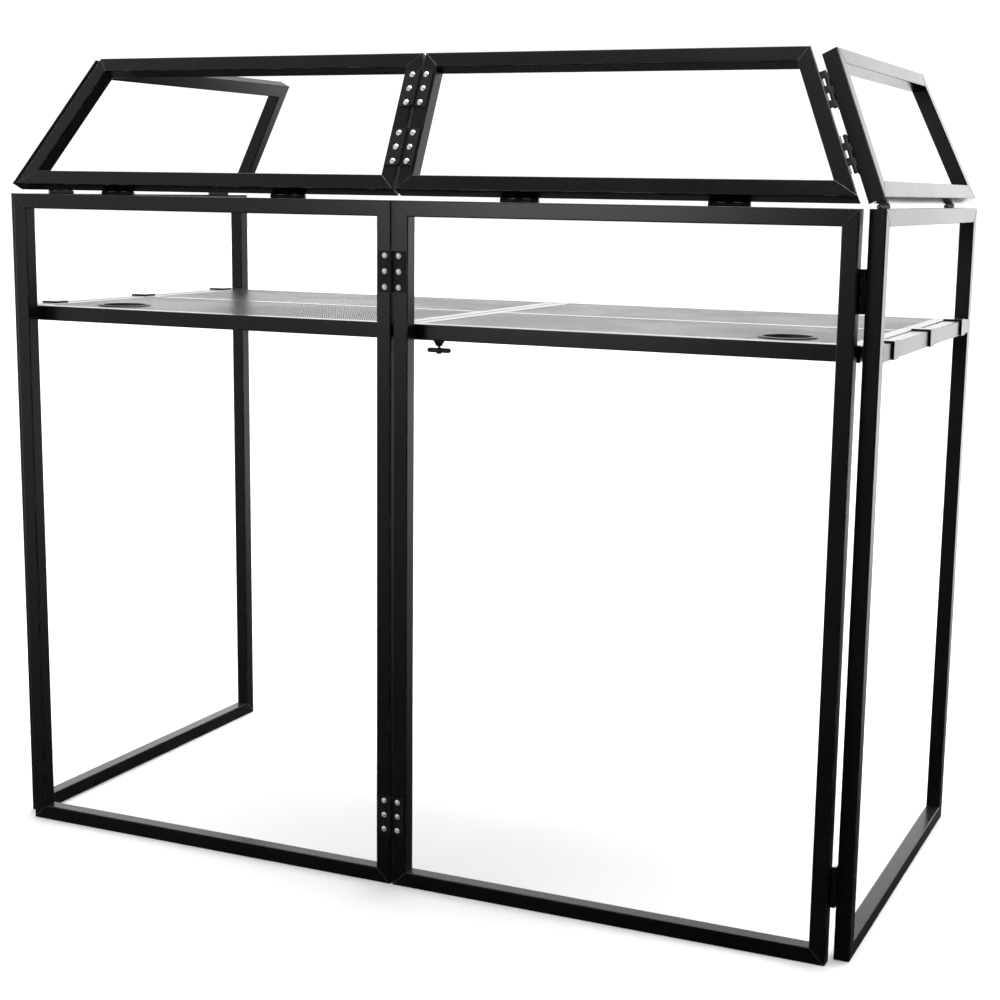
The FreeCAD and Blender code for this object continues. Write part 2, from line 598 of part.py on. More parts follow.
def table_pieces():
    pieces = {}
    front_sheet, rear_sheet = table_sheets()
    add_pair(pieces, "table_{}_frame", table_frame())
    add_pair(pieces, "table_{}_front_mesh", front_sheet)
    add_pair(pieces, "table_{}_rear_mesh", rear_sheet)
    add_pair(pieces, "table_{}_hooks", table_hooks())
    add_pair(pieces, "cable_port_{}", cable_port())
    pieces["clamp_cone"] = clamp_cone()
    pieces["clamp_nut"] = clamp_nut()
    pieces["clamp_screw"] = clamp_screw()
    pieces["clamp_handle"] = clamp_handle()
    return pieces


def add_pair(pieces, name, right_shapes):
    """A right-hand piece and its mirror image on the left."""
    pieces[name.format("right")] = right_shapes
    pieces[name.format("left")] = mirrored(right_shapes)


def main():
    os.makedirs("parts", exist_ok=True)
    pieces = {**lower_pieces(), **upper_pieces(), **table_pieces()}
    for name, solids in pieces.items():
        group = Part.makeCompound(solids)
        group.translate(ORIGIN_SHIFT)
        shape = group.Solids[0] if len(solids) == 1 else group
        shape.exportStep(f"parts/{name}.step")
        print(f"{name}: {len(group.Solids)} solids, {group.Volume / 1000:.1f} cm3, valid {group.isValid()}")
    print(f"{len(pieces)} nodes")


main()
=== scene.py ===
# %% [markdown]
# # A folding booth frame of black square tube
#
# This lesson dresses a finished steel frame. Its tubes, hinges, table and clamp arrive as exact solids,
# so the work here is light, finishes and the small marks that the workshop leaves behind.

import json
import math

import bmesh
import bpy
from mathutils import Matrix, Vector


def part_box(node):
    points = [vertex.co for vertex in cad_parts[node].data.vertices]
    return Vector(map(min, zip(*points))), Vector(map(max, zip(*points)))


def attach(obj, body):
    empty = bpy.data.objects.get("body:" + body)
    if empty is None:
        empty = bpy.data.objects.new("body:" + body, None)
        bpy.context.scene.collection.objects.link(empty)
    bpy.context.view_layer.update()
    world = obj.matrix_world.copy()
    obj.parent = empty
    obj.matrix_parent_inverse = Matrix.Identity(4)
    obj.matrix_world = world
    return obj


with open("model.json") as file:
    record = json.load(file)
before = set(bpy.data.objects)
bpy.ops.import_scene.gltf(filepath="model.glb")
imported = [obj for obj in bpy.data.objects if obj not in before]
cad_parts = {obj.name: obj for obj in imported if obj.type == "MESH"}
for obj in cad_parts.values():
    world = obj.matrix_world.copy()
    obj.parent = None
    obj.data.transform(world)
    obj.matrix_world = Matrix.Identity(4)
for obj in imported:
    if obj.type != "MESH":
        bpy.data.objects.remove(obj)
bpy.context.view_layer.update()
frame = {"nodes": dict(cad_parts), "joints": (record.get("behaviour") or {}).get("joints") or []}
nodes = frame["nodes"]

# %% [markdown]
# ## The camera
#
# A photograph of a box-like frame fixes its own camera: the tube edges give the direction of view, and the
# size of the tube gives the distance. The angles below came from lining up those edges. The small shift
# stands for a picture that was cropped a little off its middle.

# %% Place the camera
VIEW_YAW = 0.4132
VIEW_PITCH = 0.1781
VIEW_ROLL = 0.0155
VIEW_PLACE = (1.32775, -2.85193, 1.13931)
SENSOR_WIDTH_MM = 36.0
LENS_MM = 64.087
SHIFT_ACROSS = -0.02836
SHIFT_UP = 0.01146
camera_data = bpy.data.cameras.new("view")
camera_data.sensor_width = SENSOR_WIDTH_MM
camera_data.lens = LENS_MM
camera_data.shift_x = SHIFT_ACROSS
camera_data.shift_y = SHIFT_UP
camera = bpy.data.objects.new("view", camera_data)
bpy.context.scene.collection.objects.link(camera)
level = Vector((-math.sin(VIEW_YAW), math.cos(VIEW_YAW), 0))
across = Vector((math.cos(VIEW_YAW), math.sin(VIEW_YAW), 0))
up = Vector((0, 0, 1))
forward = level * math.cos(VIEW_PITCH) - up * math.sin(VIEW_PITCH)
upward = up * math.cos(VIEW_PITCH) + level * math.sin(VIEW_PITCH)
right = across * math.cos(VIEW_ROLL) + upward * math.sin(VIEW_ROLL)
upward = upward * math.cos(VIEW_ROLL) - across * math.sin(VIEW_ROLL)
turn = Matrix((right, upward, -forward)).transposed().to_4x4()
camera.matrix_world = Matrix.Translation(VIEW_PLACE) @ turn
bpy.context.scene.camera = camera
print("camera set, lens", camera_data.lens)

# %% [markdown]
# ## Light and floor
#
# Black satin steel shows the room more than itself. A white sweep behind makes the faces turned that way
# glare, and a dim room in front keeps the front faces near black. So the surroundings are a soft gradient
# round the object: brightest at the back, less so at the right, with a little light from the left. The
# bright band fades below the horizon and above it, because the faces near the ground are the darkest ones,
# their tops among them. Straight above it is bright again, like a large soft lamp over the studio. A faint
# low lamp behind grazes the upper left side frame. Looked at directly, the surroundings are plain white from
# every side, so that nothing but the object shows.

# %% Helpers for node trees


def link(tree, source, target):
    """Joins an output to an input."""
    tree.links.new(source, target)


def ramp(tree, value, low, high, out_low=0.0, out_high=1.0):
    """A smooth step of a value between two limits; returns its output."""
    node = tree.nodes.new("ShaderNodeMapRange")
    node.interpolation_type = "SMOOTHSTEP"
    for label, number in (("From Min", low), ("From Max", high), ("To Min", out_low), ("To Max", out_high)):
        node.inputs[label].default_value = number
    link(tree, value, node.inputs["Value"])
    return node.outputs[0]


def math_node(tree, operation, first, second=None):
    """A math node fed by sockets or plain numbers; returns its output."""
    node = tree.nodes.new("ShaderNodeMath")
    node.operation = operation
    for place, value in enumerate((first, second)):
        if value is None:
            continue
        if isinstance(value, (int, float)):
            node.inputs[place].default_value = value
        else:
            link(tree, value, node.inputs[place])
    return node.outputs[0]


# %% Build the surroundings
FRONT_GLOW = 0.1
BACK_GLOW = 2.6
LEFT_GLOW = 0.6
RIGHT_SHARE = 0.15
RING_SHARE = 0.12
ABOVE_GLOW = 4.8
GROUND_SHARE = 0.02
BACKDROP_GLOW = 1.1
# Each edge is where a change begins and ends, as a part of the direction's length along one axis.
BACK_EDGE = (-0.1, 0.8)
RIGHT_EDGE = (0.25, 0.5)
RING_EDGE = (0.2, 0.4)
LEFT_EDGE = (-0.75, -0.3)
FRONT_EDGE = (-0.2, 0.2)
GROUND_EDGE = (-0.34, -0.06)
ABOVE_EDGE = (0.7, 0.95)
ABOVE_DIRECTION = Vector((0.0, 0.25, 1.0)).normalized()
world = bpy.data.worlds.new("white_sweep")
bpy.context.scene.world = world
world.use_nodes = True
tree = world.node_tree
background = tree.nodes["Background"]
sight = tree.nodes.new("ShaderNodeTexCoord").outputs["Generated"]
direction = tree.nodes.new("ShaderNodeSeparateXYZ")
link(tree, sight, direction.inputs[0])
upwards = tree.nodes.new("ShaderNodeVectorMath")
upwards.operation = "DOT_PRODUCT"
link(tree, sight, upwards.inputs[0])
upwards.inputs[1].default_value = ABOVE_DIRECTION
depth_glow = ramp(tree, direction.outputs["Y"], *BACK_EDGE, FRONT_GLOW, BACK_GLOW)
right_share = ramp(tree, direction.outputs["X"], *RIGHT_EDGE, 1.0, RIGHT_SHARE)
below_ring = ramp(tree, direction.outputs["Z"], *RING_EDGE, 1.0, RING_SHARE)
left_glow = ramp(tree, direction.outputs["X"], *LEFT_EDGE, LEFT_GLOW, 0.0)
in_front = ramp(tree, direction.outputs["Y"], *FRONT_EDGE, 1.0, 0.0)
above_ground = ramp(tree, direction.outputs["Z"], *GROUND_EDGE, GROUND_SHARE, 1.0)
above_glow = ramp(tree, upwards.outputs["Value"], *ABOVE_EDGE, 0.0, ABOVE_GLOW)
sweep = math_node(tree, "MULTIPLY", math_node(tree, "MULTIPLY", depth_glow, right_share), below_ring)
sides = math_node(tree, "ADD", sweep, math_node(tree, "MULTIPLY", left_glow, in_front))
band = math_node(tree, "MULTIPLY", sides, above_ground)
glow = math_node(tree, "ADD", band, above_glow)
looked_at = tree.nodes.new("ShaderNodeLightPath").outputs["Is Camera Ray"]
unseen_glow = math_node(tree, "MULTIPLY", glow, math_node(tree, "SUBTRACT", 1.0, looked_at))
plain_white = math_node(tree, "MULTIPLY", looked_at, BACKDROP_GLOW)
link(tree, math_node(tree, "ADD", unseen_glow, plain_white), background.inputs["Strength"])
background.inputs["Color"].default_value = (1.0, 1.0, 1.0, 1.0)
bpy.context.scene.view_settings.view_transform = "Standard"
print("surroundings set")

# %% Hang the lamps


def soft_lamp(name, place, aim, width, height, watts):
    """A broad oblong lamp that looks from one point to another."""
    data = bpy.data.lights.new(name, "AREA")
    data.shape = "RECTANGLE"
    data.size = width
    data.size_y = height
    data.energy = watts
    lamp = bpy.data.objects.new(name, data)
    lamp.location = place
    lamp.rotation_euler = (Vector(aim) - Vector(place)).to_track_quat("-Z", "Y").to_euler()
    lamp.visible_camera = False
    bpy.context.scene.collection.objects.link(lamp)
    return lamp


soft_lamp("overhead", place=(0.2, 0.3, 3.6), aim=(0, 0, 0.8), width=3.0, height=3.0, watts=55.0)
soft_lamp("front_glint", place=(-1.45, -4.6, 1.35), aim=(0.2, -0.4, 1.1), width=1.1, height=0.6, watts=15.0)
soft_lamp("low_glint", place=(0.5, 4.1, 0.05), aim=(-0.7, 0.1, 1.33), width=1.6, height=0.7, watts=8.0)
print("lamps hung")

# %% [markdown]
# The floor is wide enough to reach the horizon. It is kept out of the mirror images in the coat, so that the
# lower faces stay as dark as they would on a matt studio floor.

# %% Lay the floor
FLOOR_HALF_WIDTH = 40.0
FLOOR_SQUARES = 8
FLOOR_DROP = 0.0002
FLOOR_COLOUR = (0.93, 0.93, 0.93, 1)
FLOOR_ROUGHNESS = 0.9
floor_mesh = bpy.data.meshes.new("floor")
shape = bmesh.new()
bmesh.ops.create_grid(shape, x_segments=FLOOR_SQUARES, y_segments=FLOOR_SQUARES, size=FLOOR_HALF_WIDTH)
shape.to_mesh(floor_mesh)
shape.free()
floor = bpy.data.objects.new("floor", floor_mesh)
floor.location = (0, 0, -FLOOR_DROP)
floor.visible_glossy = False
bpy.context.scene.collection.objects.link(floor)
floor_paint = bpy.data.materials.new("pale_floor")
floor_paint.use_nodes = True
floor_surface = floor_paint.node_tree.nodes["Principled BSDF"]
floor_surface.inputs["Base Color"].default_value = FLOOR_COLOUR
floor_surface.inputs["Roughness"].default_value = FLOOR_ROUGHNESS
floor_mesh.materials.append(floor_paint)
print("floor laid")

# %% [markdown]
# ## Marks that several finishes share
#
# Powder coat has a fine orange-peel skin and slight patches of shine. Its high edges rub thin, and dust
# lies on whatever faces up. Each of these is one node group with its own inputs, used by every finish
# that needs it, so that a change is made in one place.

# %% Helpers for node groups


def new_group(name, inputs, outputs):
    """An empty shader group with named number inputs and outputs."""
    group = bpy.data.node_groups.new(name, "ShaderNodeTree")
    for label, value in inputs:
        socket = group.interface.new_socket(label, in_out="INPUT", socket_type="NodeSocketFloat")
        socket.default_value = value
    for label in outputs:
        group.interface.new_socket(label, in_out="OUTPUT", socket_type="NodeSocketFloat")
    return group, group.nodes.new("NodeGroupInput"), group.nodes.new("NodeGroupOutput")


def noise(tree, scale, detail):
    """Noise in the piece's own coordinates; scale is a socket or a number of waves per metre."""
    place = tree.nodes.new("ShaderNodeTexCoord")
    node = tree.nodes.new("ShaderNodeTexNoise")
    node.inputs["Detail"].default_value = detail
    link(tree, place.outputs["Object"], node.inputs["Vector"])
    if isinstance(scale, (int, float)):
        node.inputs["Scale"].default_value = scale
    else:
        link(tree, scale, node.inputs["Scale"])
    return node.outputs["Fac"]


# %% Orange peel and patches
PEEL_DETAIL = 2.0
PATCH_DETAIL = 3.0
PATCH_EDGE = (0.35, 0.65)
grain, grain_in, grain_out = new_group("coat_grain", [("Peel scale", 700.0), ("Patch scale", 9.0)],
                                       ["Peel", "Patch"])
peel = noise(grain, grain_in.outputs["Peel scale"], PEEL_DETAIL)
link(grain, peel, grain_out.inputs["Peel"])
patch = noise(grain, grain_in.outputs["Patch scale"], PATCH_DETAIL)
link(grain, ramp(grain, patch, *PATCH_EDGE), grain_out.inputs["Patch"])
print("group made:", grain.name)

# %% Worn edges
# The tubes lie along the axes, or lean by a known angle. A rounded tube corner is where the surface faces
# none of the three axes, once the lean is turned back.
CORNER_EDGE = (0.12, 0.27)
BREAKS_EDGE = (0.45, 0.72)
BREAKS_DETAIL = 4.0
wear, wear_in, wear_out = new_group("worn_edges", [("Lean about X", 0.0), ("Lean about Y", 0.0),
                                                   ("Breaks scale", 40.0), ("Rub", 1.0)], ["Wear"])
facing = wear.nodes.new("ShaderNodeTexCoord").outputs["Normal"]
for axis, label in (("X_AXIS", "Lean about X"), ("Y_AXIS", "Lean about Y")):
    upright = wear.nodes.new("ShaderNodeVectorRotate")
    upright.rotation_type = axis
    link(wear, facing, upright.inputs["Vector"])
    link(wear, wear_in.outputs[label], upright.inputs["Angle"])
    facing = upright.outputs[0]
size_of = wear.nodes.new("ShaderNodeVectorMath")
size_of.operation = "ABSOLUTE"
link(wear, facing, size_of.inputs[0])
split = wear.nodes.new("ShaderNodeSeparateXYZ")
link(wear, size_of.outputs[0], split.inputs[0])
flattest = math_node(wear, "MAXIMUM", split.outputs["X"], split.outputs["Y"])
flattest = math_node(wear, "MAXIMUM", flattest, split.outputs["Z"])
corner = ramp(wear, math_node(wear, "SUBTRACT", 1.0, flattest), *CORNER_EDGE)
breaks = ramp(wear, noise(wear, wear_in.outputs["Breaks scale"], BREAKS_DETAIL), *BREAKS_EDGE)
worn = math_node(wear, "MULTIPLY", corner, breaks)
link(wear, math_node(wear, "MULTIPLY", worn, wear_in.outputs["Rub"]), wear_out.inputs["Wear"])
print("group made:", wear.name)

# %% Settled dust
LYING_EDGE = (0.6, 0.95)
SPECK_EDGE = (0.42, 0.75)
SPECKS_PER_METRE = 160.0
SPECK_DETAIL = 6.0
dust, dust_in, dust_out = new_group("settled_dust", [("Cover", 0.5)], ["Dust"])
face_up = dust.nodes.new("ShaderNodeSeparateXYZ")
link(dust, dust.nodes.new("ShaderNodeTexCoord").outputs["Normal"], face_up.inputs[0])
lying = ramp(dust, face_up.outputs["Z"], *LYING_EDGE)
specks = ramp(dust, noise(dust, SPECKS_PER_METRE, SPECK_DETAIL), *SPECK_EDGE)
dusted = math_node(dust, "MULTIPLY", lying, specks)
link(dust, math_node(dust, "MULTIPLY", dusted, dust_in.outputs["Cover"]), dust_out.inputs["Dust"])
print("group made:", dust.name)

# %% [markdown]
# ## The black coat
#
# The frames are sprayed with satin black powder. The same finish serves the upright frames and the leaning
# ones: only the angle that the wear group turns back differs, so one function makes all of them.

# %% A finish from the shared groups
LEAN = math.radians(26.0)
COAT_BLACK = (0.0018, 0.0018, 0.002)
RUBBED_GREY = (0.075, 0.075, 0.078)
COAT_DUST_GREY = (0.10, 0.10, 0.10)
COAT_ROUGHNESS = 0.27
ROUGHNESS_SPREAD = 0.012
PATCH_GAIN = 1.4
PEEL_STRENGTH = 0.08
PEEL_DEPTH = 0.0002


def place_group(tree, group, **values):
    """The group placed in a material, with its number inputs set by name."""
    node = tree.nodes.new("ShaderNodeGroup")
    node.node_tree = group
    for label, value in values.items():
        node.inputs[label.replace("_", " ")].default_value = value
    return node


def tint(tree, mask, first, second):
    """A colour that goes from the first to the second by a mask; each is a socket or three numbers."""
    node = tree.nodes.new("ShaderNodeMix")
    node.data_type = "RGBA"
    link(tree, mask, node.inputs["Factor"])
    for label, value in (("A", first), ("B", second)):
        socket = [s for s in node.inputs if s.name == label and s.type == "RGBA"][0]
        if isinstance(value, tuple):
            socket.default_value = (*value, 1.0)
        else:
            link(tree, value, socket)
    return [s for s in node.outputs if s.type == "RGBA"][0]


def bump(tree, height, strength, depth):
    """A normal tilted by a height."""
    node = tree.nodes.new("ShaderNodeBump")
    node.inputs["Strength"].default_value = strength
    node.inputs["Distance"].default_value = depth
    link(tree, height, node.inputs["Height"])
    return node.outputs["Normal"]


def new_material(name):
    """A material, its node tree and its surface shader."""
    material = bpy.data.materials.new(name)
    material.use_nodes = True
    return material, material.node_tree, material.node_tree.nodes["Principled BSDF"]


def coated_steel(name, lean_x=0.0, lean_y=0.0, deep=COAT_BLACK, rough=COAT_ROUGHNESS, rub=1.0, mirror=0.5):
    """Satin black powder coat, rubbed on its edges and dusty on top."""
    material, tree, surface = new_material(name)
    surface.inputs["Specular IOR Level"].default_value = mirror
    skin = place_group(tree, grain, Peel_scale=900.0, Patch_scale=7.0)
    rubbed = place_group(tree, wear, Lean_about_X=lean_x, Lean_about_Y=lean_y, Breaks_scale=35.0, Rub=rub)
    lying = place_group(tree, dust, Cover=0.3)
    colour = tint(tree, skin.outputs["Patch"], deep, tuple(c * PATCH_GAIN for c in deep))
    colour = tint(tree, rubbed.outputs["Wear"], colour, RUBBED_GREY)
    colour = tint(tree, lying.outputs["Dust"], colour, COAT_DUST_GREY)
    link(tree, colour, surface.inputs["Base Color"])
    gloss = ramp(tree, skin.outputs["Patch"], 0.0, 1.0, rough, rough + ROUGHNESS_SPREAD)
    link(tree, gloss, surface.inputs["Roughness"])
    link(tree, bump(tree, skin.outputs["Peel"], PEEL_STRENGTH, PEEL_DEPTH), surface.inputs["Normal"])
    return material


def dress(material, names):
    """Gives the material to solid groups by name."""
    for name in names:
        mesh = nodes[name].data
        mesh.materials.clear()
        mesh.materials.append(material)
        for polygon in mesh.polygons:
            polygon.material_index = 0


upright_coat = coated_steel("coat_upright")
front_lean_coat = coated_steel("coat_front_lean", lean_x=LEAN)
right_lean_coat = coated_steel("coat_right_lean", lean_y=LEAN)
left_lean_coat = coated_steel("coat_left_lean", lean_y=-LEAN)
print("coats made")

# %% Coat the frames
SIDES = ("left", "right")
dress(upright_coat, [f"front_{s}_frame" for s in SIDES] + [f"side_{s}_frame" for s in SIDES])
dress(upright_coat, [f"side_{s}_table_rail" for s in SIDES] + [f"table_{s}_frame" for s in SIDES])
dress(upright_coat, [f"table_{s}_hooks" for s in SIDES])
dress(front_lean_coat, [f"upper_front_{s}_frame" for s in SIDES])
dress(right_lean_coat, ["upper_side_right_frame"])
dress(left_lean_coat, ["upper_side_left_frame"])
print("frames, rails and hooks coated")

# %% [markdown]
# ## Hinges, screws and pins
#
# The hinges are stamped and blackened, duller than the coat, and so is the cone of the clamp. The screws are
# bright zinc with a fine grain, and the pins and the clamp's screw and nut are plain steel.

# %% Blacken the hinges
HINGE_BLACK = (0.0035, 0.0035, 0.0038)
METAL_PATCHES_PER_METRE = 120.0
METAL_GRAIN_EDGE = (0.3, 0.7)
METAL_GRAIN_STRENGTH = 0.08
METAL_GRAIN_DEPTH = 0.0001
hinge_black = coated_steel("hinge_black", deep=HINGE_BLACK, rough=0.5, rub=0.12, mirror=0.3)
dress(hinge_black, [name for name in nodes if name.endswith("_leaves")] + ["clamp_cone"])


def bare_metal(name, pale, dark, smooth, rough, grain_scale, metallic):
    """Uncoated metal with a fine grain and patches of duller plating."""
    material, tree, surface = new_material(name)
    surface.inputs["Metallic"].default_value = metallic
    skin = place_group(tree, grain, Peel_scale=grain_scale, Patch_scale=METAL_PATCHES_PER_METRE)
    link(tree, tint(tree, skin.outputs["Patch"], pale, dark), surface.inputs["Base Color"])
    dullness = ramp(tree, skin.outputs["Peel"], *METAL_GRAIN_EDGE, smooth, rough)
    link(tree, dullness, surface.inputs["Roughness"])
    turned = bump(tree, skin.outputs["Peel"], METAL_GRAIN_STRENGTH, METAL_GRAIN_DEPTH)
    link(tree, turned, surface.inputs["Normal"])
    return material


bright_zinc = bare_metal("bright_zinc", pale=(0.95, 0.95, 0.96), dark=(0.8, 0.8, 0.82), smooth=0.3,
                         rough=0.44, grain_scale=2600.0, metallic=0.7)
plain_steel = bare_metal("plain_steel", pale=(0.48, 0.48, 0.49), dark=(0.3, 0.3, 0.31), smooth=0.3,
                         rough=0.45, grain_scale=1800.0, metallic=1.0)
dress(bright_zinc, [name for name in nodes if name.endswith("_screws")])
dress(plain_steel, [name for name in nodes if name.endswith("_pins")] + ["clamp_screw", "clamp_nut"])
print("metals made")

# %% [markdown]
# ## Moulded plastic
#
# The cable ports and the clamp's T-handle are moulded in black plastic, with a dull sparkled grain.

# %% Mould the ports and the handle
PLASTIC_BLACK = (0.012, 0.012, 0.012)
PLASTIC_DUST_GREY = (0.12, 0.12, 0.12)
PLASTIC_PATCH_GAIN = 1.6
PLASTIC_ROUGHNESS_SPREAD = 0.12
PLASTIC_GRAIN_EDGE = (0.3, 0.7)
PLASTIC_GRAIN_STRENGTH = 0.2
PLASTIC_GRAIN_DEPTH = 0.0003


def moulded(name, colour, rough):
    """Grained black plastic with some dust on top."""
    material, tree, surface = new_material(name)
    skin = place_group(tree, grain, Peel_scale=1500.0, Patch_scale=60.0)
    lying = place_group(tree, dust, Cover=0.3)
    shade = tint(tree, skin.outputs["Patch"], colour, tuple(c * PLASTIC_PATCH_GAIN for c in colour))
    shade = tint(tree, lying.outputs["Dust"], shade, PLASTIC_DUST_GREY)
    link(tree, shade, surface.inputs["Base Color"])
    dullest = rough + PLASTIC_ROUGHNESS_SPREAD
    dullness = ramp(tree, skin.outputs["Peel"], *PLASTIC_GRAIN_EDGE, rough, dullest)
    link(tree, dullness, surface.inputs["Roughness"])
    grained = bump(tree, skin.outputs["Peel"], PLASTIC_GRAIN_STRENGTH, PLASTIC_GRAIN_DEPTH)
    link(tree, grained, surface.inputs["Normal"])
    return material


dress(moulded("port_plastic", PLASTIC_BLACK, rough=0.42), [f"cable_port_{s}" for s in SIDES])
dress(moulded("handle_plastic", PLASTIC_BLACK, rough=0.38), ["clamp_handle"])
print("ports and handle moulded")

# %% [markdown]
# ## The perforated sheets
#
# The table top is thin sheet punched all over with round holes in staggered rows. Some seventy thousand real
# holes would be far too many faces, so the holes are worked out from the sheet's own coordinates and left
# see-through.

# %% Punch the sheets
HOLE_PITCH = 0.0036
HOLE_RADIUS = 0.0011
RIM_SOFTNESS = 0.00012
RIM_WIDTH = 0.0005
ROW_SPACING = math.sqrt(3) / 2
punch, punch_in, punch_out = new_group("punched_holes", [("Pitch", HOLE_PITCH), ("Radius", HOLE_RADIUS)],
                                       ["Metal", "Rim"])
spot = punch.nodes.new("ShaderNodeSeparateXYZ")
link(punch, punch.nodes.new("ShaderNodeTexCoord").outputs["Object"], spot.inputs[0])
row_height = math_node(punch, "MULTIPLY", punch_in.outputs["Pitch"], ROW_SPACING)
row = math_node(punch, "DIVIDE", spot.outputs["Y"], row_height)
row_number = math_node(punch, "FLOOR", row)
odd = math_node(punch, "FLOORED_MODULO", row_number, 2.0)
column = math_node(punch, "DIVIDE", spot.outputs["X"], punch_in.outputs["Pitch"])
column = math_node(punch, "ADD", column, math_node(punch, "MULTIPLY", odd, 0.5))
across_cell = math_node(punch, "SUBTRACT", math_node(punch, "FRACT", column), 0.5)
along_cell = math_node(punch, "SUBTRACT", math_node(punch, "FRACT", row), 0.5)
across_m = math_node(punch, "MULTIPLY", across_cell, punch_in.outputs["Pitch"])
along_m = math_node(punch, "MULTIPLY", along_cell, row_height)
squares = math_node(punch, "ADD", math_node(punch, "MULTIPLY", across_m, across_m),
                    math_node(punch, "MULTIPLY", along_m, along_m))
from_rim = math_node(punch, "SUBTRACT", math_node(punch, "SQRT", squares), punch_in.outputs["Radius"])
link(punch, ramp(punch, from_rim, -RIM_SOFTNESS, RIM_SOFTNESS), punch_out.inputs["Metal"])
link(punch, ramp(punch, from_rim, 0.0, RIM_WIDTH, 1.0, 0.0), punch_out.inputs["Rim"])
print("group made:", punch.name)

# %% Coat the sheets
SHEET_BLACK = (0.016, 0.016, 0.017)
SHEET_PATCH_BLACK = (0.02, 0.02, 0.021)
SHEET_DUST_GREY = (0.12, 0.12, 0.12)
RIM_GREY = (0.05, 0.05, 0.052)
SHEET_MIRROR = 0.24
SHEET_ROUGHNESS = (0.32, 0.36)
SHEET_PEEL_STRENGTH = 0.12
sheet_coat, tree, surface = new_material("perforated_sheet")
holes = place_group(tree, punch, Pitch=HOLE_PITCH, Radius=HOLE_RADIUS)
skin = place_group(tree, grain, Peel_scale=900.0, Patch_scale=6.0)
lying = place_group(tree, dust, Cover=0.25)
colour = tint(tree, skin.outputs["Patch"], SHEET_BLACK, SHEET_PATCH_BLACK)
colour = tint(tree, lying.outputs["Dust"], colour, SHEET_DUST_GREY)
colour = tint(tree, holes.outputs["Rim"], colour, RIM_GREY)
link(tree, colour, surface.inputs["Base Color"])
surface.inputs["Specular IOR Level"].default_value = SHEET_MIRROR
link(tree, holes.outputs["Metal"], surface.inputs["Alpha"])
link(tree, ramp(tree, skin.outputs["Patch"], 0.0, 1.0, *SHEET_ROUGHNESS), surface.inputs["Roughness"])
link(tree, bump(tree, skin.outputs["Peel"], SHEET_PEEL_STRENGTH, PEEL_DEPTH), surface.inputs["Normal"])
dress(sheet_coat, [f"table_{s}_{p}_mesh" for s in SIDES for p in ("front", "rear")])
print("sheets coated, hole pitch", HOLE_PITCH)

# %% [markdown]
# ## Mitre seams
#
# Each frame corner is two tubes cut at an angle and welded, then ground. The coat leaves a faint raised
# line along the joint. It is made here as a low ribbon from the outer corner to the inner one, with a
# slightly uneven width, as grinding by hand leaves it.

# %% Corners of the frames
TUBE = 0.025
SEAM_WIDTH = 0.0013
SEAM_HEIGHT = 0.0002
SLANT_HEIGHT = 0.238
END_SLOPE = math.sin(LEAN)
fold_joints = {joint["name"]: joint for joint in frame["joints"]}
front_axis = Vector(fold_joints["upper_front_right_fold"]["pos_m"])
side_axis = Vector(fold_joints["upper_side_right_fold"]["pos_m"])
front_low, front_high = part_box("front_right_frame")
side_low, side_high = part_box("side_right_frame")
table_low, table_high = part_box("table_right_frame")
GAP_ABOVE = 2 * (front_axis.z - front_high.z)
END_INSET = front_high.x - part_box("upper_front_right_frame")[1].x


def inner_corners(corners):
    """The outline's corners moved in by one tube; the outline is anticlockwise."""
    moved = []
    for i, here in enumerate(corners):
        before = (here - corners[i - 1]).normalized()
        after = (corners[(i + 1) % len(corners)] - here).normalized()
        inward = Vector((-before.y - after.y, before.x + after.x))
        share = TUBE / (1 + before.dot(after))
        moved.append(here + inward * share)
    return moved


def outline(width, height, cut_start=0.0, cut_end=0.0):
    """A frame's outer corners, with either upper corner drawn in."""
    corners = ((0, 0), (width, 0), (width - cut_end, height), (cut_start, height))
    return [Vector(corner) for corner in corners]


front_size = front_high - front_low
side_size = side_high - side_low
table_size = table_high - table_low
FRONT_OUTLINE = outline(front_size.x, front_size.z)
SIDE_OUTLINE = outline(side_size.y, side_size.z)
UPPER_FRONT_OUTLINE = outline(front_size.x - END_INSET, SLANT_HEIGHT, cut_end=SLANT_HEIGHT * END_SLOPE)
UPPER_SIDE_OUTLINE = outline(side_size.y, SLANT_HEIGHT, cut_start=SLANT_HEIGHT * END_SLOPE)
TABLE_OUTLINE = outline(table_size.x, table_size.y)
print("outlines ready, gap above the front frames", round(GAP_ABOVE, 4))

# %% Stand the corners in place


def on_front(point, depth):
    """Front frames: depth runs from the front face to the back one."""
    return Vector((front_low.x + point.x, front_low.y + depth, point.y))


def on_side(point, depth):
    """Side frames: depth runs from the outer face to the inner one."""
    return Vector((side_high.x - depth, side_low.y + point.x, point.y))


def on_upper_front(point, depth):
    """Upper front frames: stood on the front ones, then leant back."""
    upright = on_front(point, depth) + Vector((0, 0, front_high.z + GAP_ABOVE))
    return front_axis + Matrix.Rotation(-LEAN, 3, "X") @ (upright - front_axis)


def on_upper_side(point, depth):
    """Upper side frames: stood on the side ones, then leant in."""
    upright = on_side(point, depth) + Vector((0, 0, side_high.z + GAP_ABOVE))
    return side_axis + Matrix.Rotation(-LEAN, 3, "Y") @ (upright - side_axis)


def on_table(point, depth):
    """Table halves: depth runs from the top face down."""
    return Vector((table_low.x + point.x, table_low.y + point.y, table_high.z - depth))


# %% Draw the seams
SEAM_STEPS = 16
SEAM_MARGIN = 0.04
SEAM_CLEARANCE = 0.00002
# Each swell of the width: its size, its waves along the seam and its share of the phase.
SEAM_SWELLS = ((0.22, 11.0, 1.0), (0.12, 29.0, 2.0))
CORNER_PHASE = 1.7
DEPTH_PHASE = 40.0
SEAM_PROFILE = ((-0.5, 0.0), (-0.28, 0.75), (0.0, 1.0), (0.28, 0.75), (0.5, 0.0))


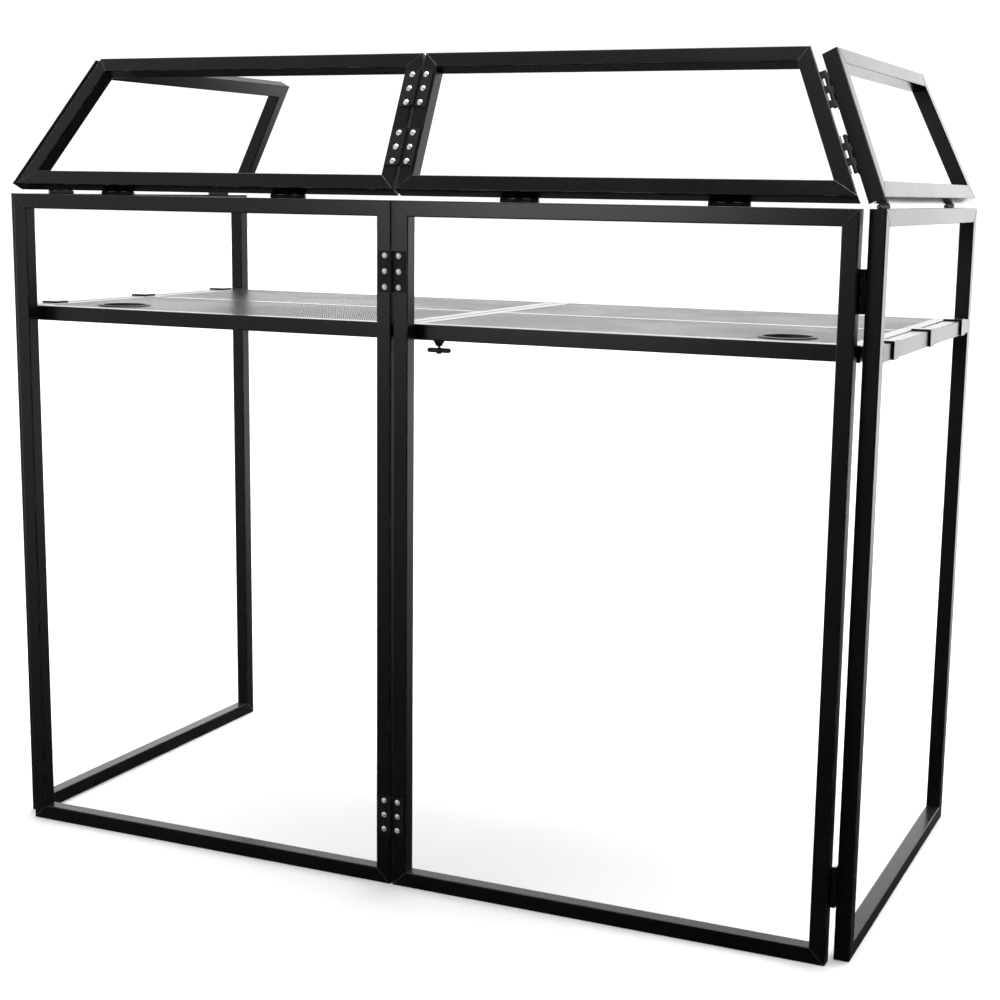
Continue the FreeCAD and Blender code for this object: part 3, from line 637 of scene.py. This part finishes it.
def seam_ribbon(shape, start, end, outward, phase):
    """A low rounded ribbon laid on a face from one point to another."""
    along = (end - start).normalized()
    across = outward.cross(along)
    rows = []
    for step in range(SEAM_STEPS + 1):
        share = step / SEAM_STEPS
        swells = [size * math.sin(waves * share + turns * phase) for size, waves, turns in SEAM_SWELLS]
        swell = 1.0 + sum(swells)
        middle = start.lerp(end, SEAM_MARGIN + (1.0 - 2.0 * SEAM_MARGIN) * share)
        row = []
        for side, lift in SEAM_PROFILE:
            sideways = across * side * SEAM_WIDTH * swell
            raised = outward * (lift * SEAM_HEIGHT * swell + SEAM_CLEARANCE)
            row.append(shape.verts.new(middle + sideways + raised))
        rows.append(row)
    for low, high in zip(rows, rows[1:]):
        for k in range(len(SEAM_PROFILE) - 1):
            shape.faces.new((low[k], high[k], high[k + 1], low[k + 1]))


def seams(name, corners, place, mirror, body):
    """All the mitre seams on both faces of one frame."""
    shape = bmesh.new()
    flip = Vector((-1, 1, 1)) if mirror else Vector((1, 1, 1))
    pairs = list(zip(corners, inner_corners(corners)))
    for depth in (0.0, TUBE):
        outward = (place(corners[0], 0.0) - place(corners[0], TUBE)).normalized()
        outward = outward if depth == 0.0 else -outward
        for number, (outer, inner) in enumerate(pairs):
            seam_ribbon(shape, place(outer, depth) * flip, place(inner, depth) * flip, outward * flip,
                        CORNER_PHASE * number + DEPTH_PHASE * depth)
    bmesh.ops.recalc_face_normals(shape, faces=shape.faces)
    mesh = bpy.data.meshes.new(name)
    shape.to_mesh(mesh)
    shape.free()
    for polygon in mesh.polygons:
        polygon.use_smooth = True
    mesh.materials.append(seam_coat)
    piece = bpy.data.objects.new(name, mesh)
    bpy.context.scene.collection.objects.link(piece)
    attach(piece, body)
    return piece


seam_coat = coated_steel("seam_coat", deep=(0.022, 0.022, 0.023), rough=0.34, rub=0.2)
for side in SIDES:
    mirror = side == "left"
    seams(f"front_{side}_seams", FRONT_OUTLINE, on_front, mirror, f"{side}_half")
    seams(f"side_{side}_seams", SIDE_OUTLINE, on_side, mirror, f"{side}_half")
    seams(f"upper_front_{side}_seams", UPPER_FRONT_OUTLINE, on_upper_front, mirror, f"upper_front_{side}")
    seams(f"upper_side_{side}_seams", UPPER_SIDE_OUTLINE, on_upper_side, mirror, f"upper_side_{side}")
    seams(f"table_{side}_seams", TABLE_OUTLINE, on_table, mirror, f"table_{side}")
print("seams drawn")

# %% [markdown]
# ## Smooth the turned pieces
#
# Round and rounded solids arrive as many flat facets. Smoothing by angle shades their curves as curves and
# keeps the real edges crisp.

# %% Shade by angle
SHARP_ANGLE = math.radians(32)
for name, piece in nodes.items():
    mesh = piece.data
    mesh.shade_smooth()
    mesh.set_sharp_from_angle(angle=SHARP_ANGLE)
print("shading set")
